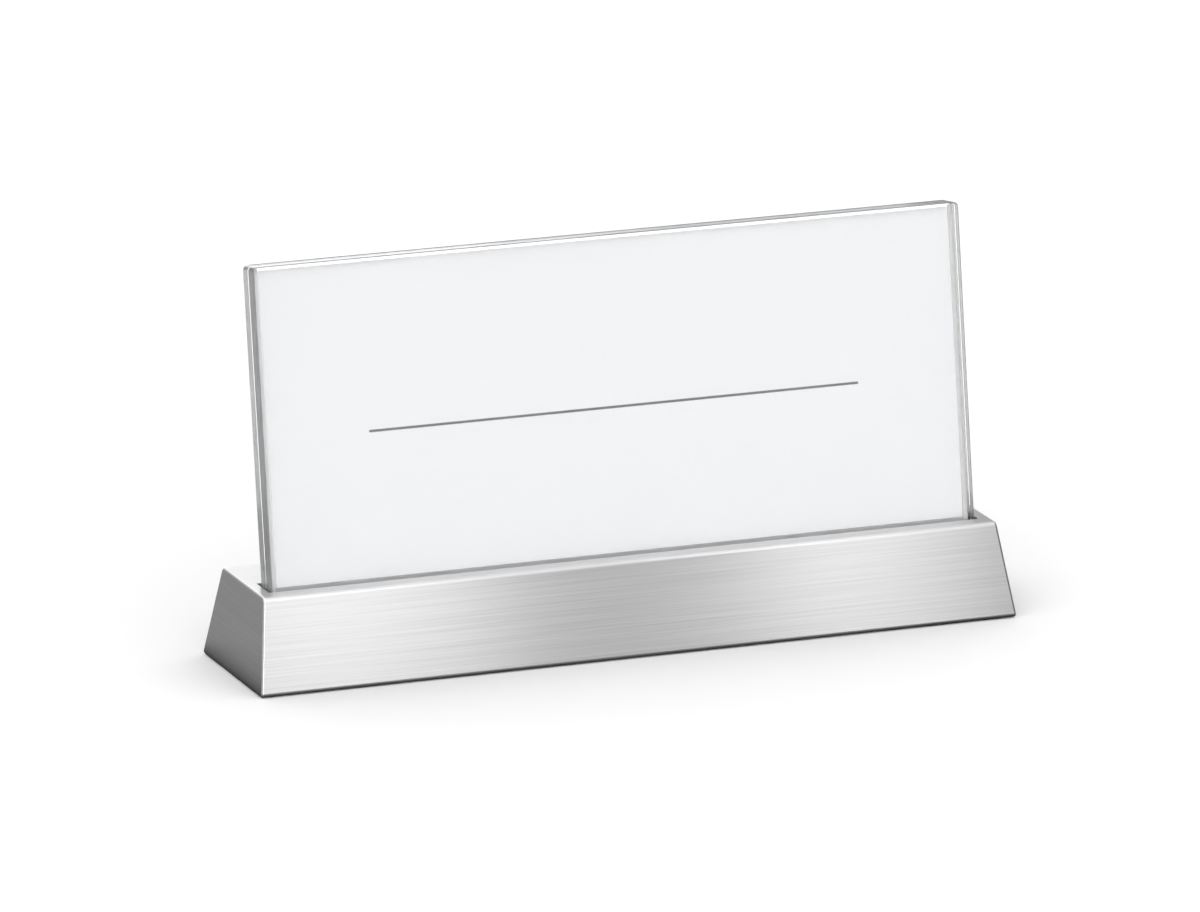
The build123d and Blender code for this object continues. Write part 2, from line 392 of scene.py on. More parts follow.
def layGrain(bm, look):  # brushing runs along the sheet
    grain = bm.loops.layers.uv.new("grain")
    for face in bm.faces:
        normal = face.normal
        for loop in face.loops:
            spot = loop.vert.co
            if abs(normal.x) > mostly:
                along = spot.y + math.copysign(look["endShift"], normal.x)
                loop[grain].uv = (along, spot.z * look["endGrain"])
            elif abs(normal.z) > mostly:
                loop[grain].uv = (spot.x, spot.y + math.copysign(look["topShift"], normal.z))
            else:
                across = spot.z * look["sideStretch"] + math.copysign(look["sideShift"], normal.y)
                loop[grain].uv = (spot.x, across)


def coverSection(look, low, high, inset):  # (y, z) round the cover, with its folds and rims rounded
    slope = math.atan2((look["bottomDepth"] - look["topDepth"]) / 2, high.z - low.z)
    foldZ = high.z - look["foldRadius"]
    rimZ = low.z + look["rimRadius"]
    quarter = math.pi / 2
    arcs = (
        (-1, look["foldRadius"], foldZ, math.pi - slope, quarter),
        (1, look["foldRadius"], foldZ, quarter, slope),
        (1, look["rimRadius"], rimZ, slope, -quarter),
        (-1, look["rimRadius"], rimZ, -quarter, -math.pi - slope),
    )
    points = []
    for side, radius, centreZ, begin, end in arcs:
        face = look["bottomDepth"] / 2 - (centreZ - low.z) * math.tan(slope)
        centreY = side * (face - radius / math.cos(slope))
        for step in range(look["foldSteps"] + 1):
            angle = begin + (end - begin) * step / look["foldSteps"]
            reach = radius - inset
            points.append((centreY + reach * math.cos(angle), centreZ + reach * math.sin(angle)))
    return points


def coverShell(bm, look, low, high):  # the outside, closed, with rounded ends
    endLean = (look["bottomLength"] - look["topLength"]) / 2 / (high.z - low.z)
    turns = [math.pi / 2 * step / look["edgeSteps"] for step in range(look["edgeSteps"] + 1)]
    loops = []
    for side, turn in [(-1, turn) for turn in reversed(turns)] + [(1, turn) for turn in turns]:
        section = coverSection(look, low, high, look["edgeRadius"] * (1 - math.cos(turn)))
        back = look["edgeRadius"] * (1 - math.sin(turn))
        farX = look["bottomLength"] / 2 - back
        loops.append([bm.verts.new((side * (farX - (z - low.z) * endLean), y, z)) for y, z in section])
    bm.faces.new(loops[0])
    bm.faces.new(loops[-1])
    for before, after in zip(loops, loops[1:]):
        bridge(bm, before, after)


def slotEdge(edge, look, slotY, top):  # an edge of the slot's mouth
    for vert in edge.verts:
        within = abs(vert.co.x) <= look["slotLength"] / 2 + touching
        inside = abs(vert.co.y - slotY) <= look["slotWidth"] / 2 + touching
        if abs(vert.co.z - top) > touching or not within or not inside:
            return False
    return True


def buildCover(look):
    low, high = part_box("base_cover")
    slotY = (look["slotWidth"] - look["topDepth"]) / 2 + look["slotFront"]
    foot = (look["bottomLength"], look["bottomDepth"])
    top = (look["topLength"], look["topDepth"])
    lean = [(foot[axis] - top[axis]) / 2 / (high.z - low.z) for axis in range(2)]
    inset = [2 * look["sheet"] * math.hypot(1, slope) for slope in lean]
    drop = [2 * look["sheet"] * slope for slope in lean]
    under = high.z - look["sheet"]
    bm = bmesh.new()
    coverShell(bm, look, low, high)
    outerFoot = opened(bm, min(bm.faces, key=lambda face: face.calc_center_median().z))
    outerTop = opened(bm, max(bm.faces, key=lambda face: face.calc_center_median().z))
    slotTop = ring(bm, look["slotLength"], look["slotWidth"], slotY, high.z)
    slotUnder = ring(bm, look["slotLength"], look["slotWidth"], slotY, under)
    innerTop = ring(bm, *[top[axis] + drop[axis] - inset[axis] for axis in range(2)], 0, under)
    innerFoot = ring(bm, *[foot[axis] - inset[axis] for axis in range(2)], 0, low.z)
    rings = [outerTop, slotTop, slotUnder, innerTop, innerFoot, outerFoot]
    for first, second in zip(rings, rings[1:]):
        bridge(bm, first, second)
    slotPosts = [edge for edge in edgesBetween(bm, slotTop + slotUnder) if runsAlong(edge, 2)]
    rounded(bm, slotPosts, look["slotCorner"], look["slotCornerSteps"])
    slotMouth = [edge for edge in bm.edges if slotEdge(edge, look, slotY, high.z)]
    rounded(bm, slotMouth, look["slotBreak"], look["slotBreakSteps"])
    bmesh.ops.recalc_face_normals(bm, faces=bm.faces)
    bm.normal_update()
    layGrain(bm, look)
    mesh = shadedMesh("brushedCover", bm, look["sharpAngle"])
    mesh.use_auto_texspace = False
    mesh.texspace_location = look["tangentFrom"]
    mesh.texspace_size = (1, 1, 1)
    addPiece("brushedCover", mesh, [brushedSteel(look)], "base", ["base_cover"])


buildCover(coverLook)

# Panes: two clear plates, polished edges, rounded corners; the greys of their cut edges are painted light
# and shade
paneLook = {
    "cornerRadius": 1.5 * mm,
    "cornerSteps": 10,
    "edgeBreak": 0.3 * mm,
    "innerBreak": 0.06 * mm,
    "faceFlat": 0.99,  # a face's normal lies this much along the pane's own
    "edgeFlat": 0.01,  # and a cut edge's no more than this
    "tint": (0.992, 0.994, 0.994),
    "roughness": 0.0,
    "bend": 1.49,
    "clear": 1.0,
    "topTint": (0.97, 0.975, 0.975),  # level cut edges, kept pale as painted light from above
    "topShade": (0.88, 0.885, 0.89),
    "topRoughness": 0.12,
    "topClear": 0.55,
    "topGrain": (20 * mm, 1.5 * mm, 4 * mm),
    "frontTint": (0.48, 0.485, 0.49),  # upright cut edges of the front pane, painted dark grey as shade
    "frontShade": (0.30, 0.305, 0.31),
    "frontRoughness": 0.15,
    "frontClear": 0.5,
    "frontGrain": (4 * mm, 1.5 * mm, 20 * mm),
    "rearTint": (0.78, 0.785, 0.79),  # and of the rear one, painted a lighter grey: the two panes differ only in painted shade
    "rearShade": (0.48, 0.485, 0.49),
    "rearRoughness": 0.12,
    "rearClear": 0.6,
    "rearGrain": (4 * mm, 1.5 * mm, 20 * mm),
    # the arrises painted darkest grey, as painted shade lines along the panes' outlines
    "arrisTint": (0.30, 0.305, 0.31),
    "arrisShade": (0.20, 0.205, 0.21),
    "arrisRoughness": 0.4,
    "arrisClear": 0.3,
    "arrisGrain": (4 * mm, 4 * mm, 4 * mm),
    "rippleDepth": 0.012 * mm,
    "rippleRough": 0.1,
}
stockHaze = {  # in the clear stock of the panes and the spacers
    "size": 30 * mm,
    "dim": 0.995,  # share of the tint where it is dimmest
    "start": 0.45,
    "rough": 0.03,
}


def acrylic(name, look):
    material, wire = newMaterial(name)
    haze = cloudy(objectCoords(wire), stockHaze["size"], detail=4.0)
    dimTint = [level * stockHaze["dim"] for level in look["tint"]]
    surface(wire, {
        "Base Color": blended(haze, dimTint, look["tint"]),
        "Roughness": look["roughness"] + (haze - stockHaze["start"]).clamped() * stockHaze["rough"],
        "IOR": look["bend"],
        "Transmission Weight": look["clear"],
    })
    return material


def cutAcrylic(name, look, part):  # a cut edge, part clear and part satin, its grey level painted light or shade
    material, wire = newMaterial(name)
    ripples = noise(objectCoords(wire), look[part + "Grain"], detail=3.0)
    surface(wire, {
        "Base Color": blended(ripples, look[part + "Shade"], look[part + "Tint"]),
        "Roughness": look[part + "Roughness"] + (ripples - 0.5) * look["rippleRough"],
        "IOR": look["bend"],
        "Transmission Weight": look[part + "Clear"],
        "Normal": bumped(ripples, look["rippleDepth"]),
    })
    return material


def roundedOutline(low, high, radius, inset, steps):  # (x, above) round a plate
    points = []
    centres = ((high.x, high.z, 0), (low.x, high.z, 90), (low.x, low.z, 180), (high.x, low.z, 270))
    reach = radius - inset
    for cornerX, cornerZ, begin in centres:
        centreX = cornerX - math.copysign(radius, cornerX - (low.x + high.x) / 2)
        centreZ = cornerZ - math.copysign(radius, cornerZ - (low.z + high.z) / 2)
        for step in range(steps + 1):
            angle = math.radians(begin + 90 * step / steps)
            points.append((centreX + reach * math.cos(angle), centreZ + reach * math.sin(angle)))
    return points


def paneFinish(normal, look):  # which finish it takes: clear face, level edge, upright edge or arris
    facing = abs(normal.dot(leanBack))
    if facing > look["faceFlat"]:
        return 0
    if facing > look["edgeFlat"]:
        return 3
    return 1 if abs(normal.dot(leanUp)) > mostly else 2


def buildPane(name, node, breaks, look, materials):  # breaks: how far its front and back edges are broken
    low, high = leanBox(node)
    sections = ((low.y, breaks[0]), (low.y + breaks[0], 0), (high.y - breaks[1], 0), (high.y, breaks[1]))
    bm = bmesh.new()
    loops = []
    for behind, inset in sections:
        outline = roundedOutline(low, high, look["cornerRadius"], inset, look["cornerSteps"])
        loops.append([bm.verts.new((x, behind, above)) for x, above in outline])
    bm.faces.new(loops[0])
    bm.faces.new(loops[-1])
    for before, after in zip(loops, loops[1:]):
        bridge(bm, before, after)
    bm.transform(leanFrame.to_4x4())
    mesh = shadedMesh(name, bm)
    addPiece(name, mesh, materials, "holder", [node])
    for face in mesh.polygons:
        face.material_index = paneFinish(face.normal, look)


clearAcrylic = acrylic("clearAcrylic", paneLook)
levelEdge = cutAcrylic("levelEdge", paneLook, "top")
# the arrises take the darkest grey, painted shade along the panes' outlines
arrisPaintedShade = cutAcrylic("arrisPaintedShade", paneLook, "arris")
paneBreaks = (paneLook["edgeBreak"], paneLook["innerBreak"])
frontFinishes = [clearAcrylic, levelEdge, cutAcrylic("frontEdge", paneLook, "front"), arrisPaintedShade]
rearFinishes = [clearAcrylic, levelEdge, cutAcrylic("rearEdge", paneLook, "rear"), arrisPaintedShade]
buildPane("frontPane", "front_pane", paneBreaks, paneLook, frontFinishes)
buildPane("rearPane", "rear_pane", paneBreaks[::-1], paneLook, rearFinishes)

# Spacers: pale translucent strips between the panes, a hair thinner than the gap; the bottom one is painted
# darker grey as shade
spacerLook = {
    "bondGap": 0.02 * mm,
    "edge": 0.05 * mm,
    "tint": (0.74, 0.74, 0.745),
    # painted shade: the bottom strip is made darker because it sits low in the slot's shade
    "bottomShadeTint": (0.52, 0.52, 0.525),
    "bend": 1.46,
    "roughness": 0.3,
    "clear": 0.15,
}


def leanBlock(name, low, high, edge, edgeSteps=2):  # a bevelled block square to the panes
    bm = bmesh.new()
    bmesh.ops.create_cube(bm, size=1.0)
    size = high - low
    for vert in bm.verts:
        vert.co = (low + high) / 2 + Vector([vert.co[axis] * size[axis] for axis in range(3)])
    rounded(bm, list(bm.edges), edge, edgeSteps)
    bm.transform(leanFrame.to_4x4())
    return shadedMesh(name, bm)


sideFinish = acrylic("paleStrip", spacerLook)
# the bottom strip takes the darker grey, painted shade
shadedBottomFinish = acrylic("shadedGreyStrip", {**spacerLook, "tint": spacerLook["bottomShadeTint"]})
for side in ("left", "right", "bottom"):
    stripLow, stripHigh = leanBox(side + "_spacer")
    stripLow.y += spacerLook["bondGap"]
    stripHigh.y -= spacerLook["bondGap"]
    strip = leanBlock(side + "Spacer", stripLow, stripHigh, spacerLook["edge"])
    finish = shadedBottomFinish if side == "bottom" else sideFinish
    addPiece(side + "Spacer", strip, [finish], "holder", [side + "_spacer"])

# Card: the CAD node, with one printed rule on its face
cardLook = {
    "tint": (0.81, 0.815, 0.827),
    "shade": (0.797, 0.802, 0.814),
    "fibres": (0.9 * mm, 0.9 * mm, 0.45 * mm),
    "fibreDepth": 0.008 * mm,
    "roughness": 0.72,
    "fibreRough": 0.2,
    "shine": 0.25,
    "ruleLength": 149.4 * mm,
    "ruleWidth": 0.73 * mm,
    "ruleHeight": 41.75 * mm,  # above the card's lower edge
    "inkThickness": 0.02 * mm,
    "inkEdge": 0.004 * mm,
    "ink": (0.105, 0.108, 0.114),
    "inkPale": (0.14, 0.143, 0.15),
    "inkRoughness": 0.5,
    "mottle": 0.25 * mm,
    "mottleRough": 0.2,
    "mottleDepth": 0.003 * mm,
}


def cardStock(look):
    material, wire = newMaterial("cardStock")
    fibres = noise(objectCoords(wire), look["fibres"], detail=4.0, roughness=0.6)
    surface(wire, {
        "Base Color": blended(fibres, look["shade"], look["tint"]),
        "Roughness": look["roughness"] + fibres * look["fibreRough"],
        "Specular IOR Level": look["shine"],
        "Normal": bumped(fibres, look["fibreDepth"]),
    })
    return material


def printedInk(look):
    material, wire = newMaterial("printedInk")
    mottle = cloudy(objectCoords(wire), look["mottle"])
    surface(wire, {
        "Base Color": blended(mottle, look["ink"], look["inkPale"]),
        "Roughness": look["inkRoughness"] + mottle * look["mottleRough"],
        "Normal": bumped(mottle, look["mottleDepth"]),
    })
    return material


def buildRule(look):
    cardLow = leanBox("insert_card")[0]
    reach = look["ruleLength"] / 2
    half = look["ruleWidth"] / 2
    middle = cardLow.z + look["ruleHeight"]
    low = Vector((-reach, cardLow.y - look["inkThickness"], middle - half))
    high = Vector((reach, cardLow.y, middle + half))
    mesh = leanBlock("printedRule", low, high, look["inkEdge"])
    addPiece("printedRule", mesh, [printedInk(look)], "card")


paint(cardStock(cardLook), "insert_card")
buildRule(cardLook)

# Screws: countersunk, hexagon socket, cut thread
screwLook = {
    "columns": {"cover": 2, "channel": 3, "ballast": 2},
    "around": 24,
    "leadRows": 8,  # rows of the grid before the thread
    "threadRows": 96,
    "headRadius": 3.0 * mm,
    "headHeight": 1.5 * mm,
    "headEdge": 0.06 * mm,
    "headDraft": 0.04 * mm,
    "shank": 1.5 * mm,
    "neck": 0.2 * mm,  # plain length under the head
    "socket": 1.15 * mm,
    "socketTaper": 0.98,
    "socketDepth": 0.9 * mm,
    "socketCone": 0.25 * mm,  # below the socket's flats
    "socketLip": 0.08 * mm,
    "pitch": 0.5 * mm,
    "threadDepth": 0.28 * mm,
    "threadFade": 12,  # it runs out over a twelfth of its length at each end
    "tip": 0.35 * mm,
    "tipTaper": 0.25,
    "tint": (0.64, 0.66, 0.69),
    "warmTint": (0.67, 0.655, 0.60),
    "film": 2.2 * mm,
    "speckle": 0.12 * mm,
    "speckleDepth": 0.004 * mm,
    "roughness": 0.26,
    "speckleRough": 0.16,
}


def zincPlate(look):
    material, wire = newMaterial("zincPlate")
    place = objectCoords(wire)
    film = cloudy(place, look["film"], detail=3.0)
    speckle = cloudy(place, look["speckle"])
    surface(wire, {
        "Base Color": blended(film, look["tint"], look["warmTint"]),
        "Metallic": 1.0,
        "Roughness": look["roughness"] + speckle * look["speckleRough"],
        "Normal": bumped(speckle, look["speckleDepth"]),
    })
    return material


def screwTree(look, material):
    sizes = {"head": look["headRadius"], "length": 0.0, "pitch": look["pitch"]}  # length set for each group
    start, size = nodeTree("screwTree", sizes)
    lead = look["leadRows"]
    threadEnd = lead + look["threadRows"]
    grid, turn, row = turned(start, look["around"] + 1, threadEnd + 2)
    sixth = (turn * 6).fraction() * (math.pi / 3) - math.pi / 6
    hexagon = look["socket"] * math.cos(math.pi / 6) / sixth.cosine()
    along = ((row - lead) / (look["threadRows"] - 1)).clamped()
    threadTop = look["headHeight"] + look["neck"]
    reach = size["length"] - look["tip"] - threadTop
    wave = ((along * reach / size["pitch"] - turn).fraction() * 2 - 1).size()
    fade = (along * look["threadFade"]).clamped() * ((1 - along) * look["threadFade"]).clamped()
    core = look["shank"] - wave * fade * look["threadDepth"]
    deep = look["socketDepth"]
    rim = size["head"]
    edge = look["headEdge"]
    profile = (  # radius and height, row by row
        (0.0, deep + look["socketCone"]),
        (hexagon * look["socketTaper"], deep),
        (hexagon, look["socketLip"]),
        (hexagon + look["socketLip"], 0.0),
        (rim - 2 * edge, 0.0),
        (rim, edge),
        (rim - look["headDraft"], 2 * edge),
        (look["shank"], look["headHeight"]),
        (core, threadTop),
    )
    radius = stations(row, [spot[0] for spot in profile])
    height = stations(row, [spot[1] for spot in profile]) + along * reach
    past = (row - (threadEnd - 1)).clamped()  # the chamfered tip
    closing = (row - threadEnd).clamped()
    radius = radius * (1 - past * look["tipTaper"]) * (1 - closing)
    height = height + past * look["tip"]
    screw = wrapped(grid, turn, radius, height)
    placed = start.add("GeometryNodeInstanceOnPoints", {}, {"Points": start, "Instance": screw})
    endTree(placed, material)
    return start.tree, sizes


def screwPoints(low, high, columns, head):  # the places of a group's screws, from its box
    farX = high.x - head
    xs = [-farX + 2 * farX * index / (columns - 1) for index in range(columns)]
    mid = (low.y + high.y) / 2
    apart = (high.y - low.y) / 2 - head
    ys = [mid - apart, mid + apart] if apart > mm else [mid]
    return [(x, y, low.z) for x in xs for y in ys]


zinc = zincPlate(screwLook)
screwShape, screwSizes = screwTree(screwLook, zinc)
for kind, columns in screwLook["columns"].items():
    screwLow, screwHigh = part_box(kind + "_screws")
    screwSizes["length"] = screwHigh.z - screwLow.z
    spots = screwPoints(screwLow, screwHigh, columns, screwSizes["head"])
    screwMesh = runTree(kind + "Screws", screwShape, screwSizes, spots)
    addPiece(kind + "Screws", screwMesh, [zinc], "base", [kind + "_screws"])

# Feet: soft discs with rings moulded in their undersides
footLook = {
    "around": 48,
    "rows": 42,
    "upRows": 8,  # of these, for the edge, the side and the lid
    "bendRows": 4,
    "edge": 0.4 * mm,
    "ringPitch": 1.15 * mm,
    "ringDepth": 0.18 * mm,
    "ringFade": 6,  # they run out over the last sixth
    "sharpAngle": 50,
    "tint": (0.018, 0.018, 0.019),
    "dust": (0.05, 0.05, 0.05),
}
footNodes = [front + "_" + side + "_foot" for front in ("front", "rear") for side in ("left", "right")]
rubberLook = {  # of the feet and the grip strips
    "speckle": 0.3 * mm,
    "speckleDepth": 0.02 * mm,
    "cloud": 6 * mm,
    "cloudGain": 1.6,
    "cloudStart": 0.5,
    "roughness": 0.66,
    "speckleRough": 0.22,
    "shine": 0.4,
}


def softRubber(name, look):
    material, wire = newMaterial(name)
    place = objectCoords(wire)
    speckle = cloudy(place, rubberLook["speckle"], detail=4.0)
    cloud = cloudy(place, rubberLook["cloud"], detail=3.0)
    dusty = (cloud * rubberLook["cloudGain"] - rubberLook["cloudStart"]).clamped()
    surface(wire, {
        "Base Color": blended(dusty, look["tint"], look["dust"]),
        "Roughness": rubberLook["roughness"] + speckle * rubberLook["speckleRough"],
        "Specular IOR Level": rubberLook["shine"],
        "Normal": bumped(speckle, rubberLook["speckleDepth"]),
    })
    return material


def footTree(look, material):
    low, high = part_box(footNodes[0])
    sizes = {"radius": (high.x - low.x) / 2, "height": high.z - low.z, "ringPitch": look["ringPitch"]}
    start, size = nodeTree("footTree", sizes)
    grid, turn, row = turned(start, look["around"] + 1, look["rows"])
    bendRow = look["rows"] - look["upRows"]
    sideRow = bendRow + look["bendRows"]
    flat = size["radius"] - look["edge"]
    under = (row / bendRow).clamped()
    bend = ((row - bendRow) / look["bendRows"]).clamped()
    side = (row - sideRow).clamped()
    lid = (row - (sideRow + 1)).clamped()
    quarter = bend * (math.pi / 2)
    rings = 0.5 - (under * flat / size["ringPitch"] * math.tau).cosine() * 0.5
    rim = ((1 - under) * look["ringFade"]).clamped()
    radius = (under * flat + quarter.sine() * look["edge"]) * (1 - lid)
    height = rings * rim * look["ringDepth"] + (1 - quarter.cosine()) * look["edge"]
    height = height + side * (size["height"] - look["edge"])
    foot = wrapped(grid, turn, radius, height)
    placed = start.add("GeometryNodeInstanceOnPoints", {}, {"Points": start, "Instance": foot})
    endTree(placed, material)
    return start.tree, sizes


footRubber = softRubber("footRubber", footLook)
footShape, footSizes = footTree(footLook, footRubber)
footSpots = []
for node in footNodes:
    footLow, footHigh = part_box(node)
    footSpots.append(((footLow.x + footHigh.x) / 2, (footLow.y + footHigh.y) / 2, footLow.z))
footMesh = runTree("softFeet", footShape, footSizes, footSpots, footLook["sharpAngle"])
addPiece("softFeet", footMesh, [footRubber], "base", footNodes)

# Grip strips: soft strips with fine ribs towards the holder
gripLook = {
    "ribPitch": 0.62 * mm,
    "ribDepth": 0.15 * mm,
    "ribSides": 12,
    "ribShort": 0.4 * mm,  # how much shorter than the strip
    "tint": (0.03, 0.03, 0.031),
    "dust": (0.06, 0.06, 0.062),
}


def gripTree(look, material, low, high, outward):
    size = high - low
    sizes = {"length": size.x, "ribPitch": look["ribPitch"], "ribDepth": look["ribDepth"]}
    start, given = nodeTree("gripTree", sizes)
    backing = size.y - look["ribDepth"]
    mid = (low + high) / 2
    slab = start.add("ShaderNodeCombineXYZ", {}, {0: given["length"], 1: backing, 2: size.z})
    strip = start.add("GeometryNodeMeshCube", {}, {"Size": slab})
    seat = mid - Vector((0, outward * look["ribDepth"] / 2, 0))
    strip = strip.add("GeometryNodeTransform", {}, {"Geometry": strip, "Translation": seat})
    rib = start.add("GeometryNodeMeshCylinder", {}, {
        "Vertices": look["ribSides"],
        "Radius": given["ribDepth"],
        "Depth": given["length"] - look["ribShort"],
    })
    turnedRib = rib.add("GeometryNodeTransform", {}, {"Geometry": rib, "Rotation": (0, math.pi / 2, 0)})
    count = int((size.z - look["ribPitch"]) / look["ribPitch"])
    ribY = outward * (size.y / 2 - look["ribDepth"])
    first = mid + Vector((0, ribY, -(count - 1) * look["ribPitch"] / 2))
    step = start.add("ShaderNodeCombineXYZ", {}, {0: 0.0, 1: 0.0, 2: given["ribPitch"]})
    line = start.add("GeometryNodeMeshLine", {}, {"Count": count, "Start Location": first, "Offset": step})
    ribs = line.add("GeometryNodeInstanceOnPoints", {}, {"Points": line, "Instance": turnedRib})
    whole = ribs.add("GeometryNodeJoinGeometry", {}, {0: [strip, ribs]})
    endTree(whole, material)
    return start.tree, sizes


gripRubber = softRubber("gripRubber", gripLook)
for name, node, outward in (("frontGrip", "front_grip_strip", 1), ("rearGrip", "rear_grip_strip", -1)):
    gripLow, gripHigh = leanBox(node)
    gripShape, gripSizes = gripTree(gripLook, gripRubber, gripLow, gripHigh, outward)
    gripMesh = runTree(name, gripShape, gripSizes, [(0, 0, 0)])
    gripMesh.transform(leanFrame.to_4x4())
    addPiece(name, gripMesh, [gripRubber], "base", [node])

# Inside and underside: CAD nodes with their own finishes
channelLook = {
    "nodes": ("channel_floor", "front_rail", "rear_rail", "left_end_stop", "right_end_stop"),
    "tint": (0.022, 0.022, 0.024),
    "pale": (0.036, 0.036, 0.039),
    "lines": (80 * mm, 0.25 * mm, 0.25 * mm),
    "lineDepth": 0.012 * mm,
    "roughness": 0.42,
    "lineRough": 0.18,
}
plateLook = {
    "nodes": ("bottom_plate",),
    "tint": (0.02, 0.02, 0.021),
    "pale": (0.034, 0.034, 0.035),
    "cloud": 25 * mm,
    "peel": 0.55 * mm,
    "peelDepth": 0.03 * mm,
    "roughness": 0.5,
    "peelRough": 0.2,
}
plainSteelLook = {
    "nodes": ("left_end_block", "right_end_block", "ballast_bar"),
    "tint": (0.42, 0.42, 0.43),
    "dark": (0.30, 0.29, 0.285),
    "scale": 7 * mm,
    "scaleGain": 1.8,
    "scaleStart": 0.5,
    "lines": (40 * mm, 0.4 * mm, 0.4 * mm),
    "lineDepth": 0.01 * mm,
    "metal": 0.9,
    "roughness": 0.38,
    "lineRough": 0.22,
}


def extrudedPlastic(look):
    material, wire = newMaterial("extrudedPlastic")
    lines = noise(objectCoords(wire), look["lines"])
    surface(wire, {
        "Base Color": blended(lines, look["tint"], look["pale"]),
        "Roughness": look["roughness"] + lines * look["lineRough"],
        "Normal": bumped(lines, look["lineDepth"]),
    })
    return material


def powderCoat(look):
    material, wire = newMaterial("powderCoat")
    place = objectCoords(wire)
    peel = cloudy(place, look["peel"], detail=3.0)
    cloud = cloudy(place, look["cloud"], detail=3.0)
    surface(wire, {
        "Base Color": blended(cloud, look["tint"], look["pale"]),
        "Roughness": look["roughness"] + peel * look["peelRough"],
        "Normal": bumped(peel, look["peelDepth"]),
    })
    return material


def drawnSteel(look):
    material, wire = newMaterial("drawnSteel")
    place = objectCoords(wire)
    lines = noise(place, look["lines"], detail=3.0)
    scale = cloudy(place, look["scale"], detail=4.0)
    bare = (scale * look["scaleGain"] - look["scaleStart"]).clamped()
    surface(wire, {
        "Base Color": blended(bare, look["dark"], look["tint"]),
        "Metallic": look["metal"],
        "Roughness": look["roughness"] + lines * look["lineRough"],
        "Normal": bumped(lines, look["lineDepth"]),
    })
    return material


paint(extrudedPlastic(channelLook), *channelLook["nodes"])
paint(powderCoat(plateLook), *plateLook["nodes"])
paint(drawnSteel(plainSteelLook), *plainSteelLook["nodes"])
print("inside and underside finished")

# Stage: white floor, which the steel mirrors darker with a painted contact shadow beside the plate, soft
# sky, softboxes that only the shine shows
floorLook = {
    "radius": 30.0,
    "segments": 96,
    "tint": 0.9,
    "inGlass": 0.48,  # as light that has been round inside the panes meets it
    "toMatte": 0.36,  # as it lights the card and other matte faces from in front
    "toBack": 1.0,  # and from behind
    "inSteel": 0.30,  # as the steel mirrors it
    "rightShadeInSteel": 0.09,  # and to the right of the plate's middle, darker as painted shade
    "contactShadowInSteel": 0.015,  # and right beside the plate: a painted contact shadow in the mirrored floor
    "contactReach": 22 * mm,
}
skyLook = {
    "level": 1.0,  # what lights the floor and the card
    "keyLight": 1.7,  # and how much more of it comes from one side
    "keyWay": (-0.40, -0.9165, 0.0),  # that side, in front and to the left
    "toCard": 1.43,  # how many times as much reaches the card
    "inSteel": ((0.0, 0.18), (0.48, 0.18), (0.5, 0.26), (0.62, 0.33), (1.0, 1.42)),  # from down to up
    "ringX": 0.349,  # the part of it that the steel mirrors into the camera is this far to the right
    "ringHalf": 0.12,
    "ringFade": 0.12,
    "backShade": 0.45,  # how much darker that part is behind the plate
    "backRise": 1.5,
    "leftShade": 0.52,  # and how much more so to the left
    "leftFrom": (0.2, 0.15),  # where that starts, and over how much it fades in
    "endBack": (0.6, 0.15),  # the part that the left end mirrors, behind
    "endLeft": (-0.02, 0.08),  # and to the left
    "around": ((0.0, 0.24), (0.5, 0.34), (0.62, 0.62), (1.0, 1.4)),  # the rest of it, from down to up
    "aroundBack": 0.5,  # how much more of the rest comes from behind
    "aroundRise": 2.0,
    "aroundRight": 0.6,  # and how much less from the right
    "rightFrom": (0.45, 0.15),
}
softboxLook = {  # centre, the point it faces, width, height, level
    "keySoftbox": ((-0.6, -2.2, 1.3), (0, 0, 0.06), 1.6, 1.2, 4.0),
    "leftStrip": ((0.095, -0.5, 0.33), (0.095, 0, 0.33), 0.11, 0.34, 2.6),
    "rightStrip": ((0.284, -0.5, 0.33), (0.284, 0, 0.33), 0.075, 0.34, 3.1),
    "backPanel": ((0.34, 1.5, 0.77), (0.34, 0, 0.77), 0.42, 1.1, 1.9),
    "lowPanel": ((0.36, 1.5, 0.11), (0.36, 0, 0.11), 0.30, 0.20, 0.5),
    "lowFill": ((0.40, 1.52, 0.11), (0.40, 0, 0.11), 0.38, 0.20, 0.3),
    "lowEdge": ((0.44, 1.54, 0.11), (0.44, 0, 0.11), 0.56, 0.20, 0.7),
}


def seenInSteel(path):  # a mirror image, not a view through the panes
    return (path.out("Is Glossy Ray") - path.out("Is Transmission Ray")).clamped()


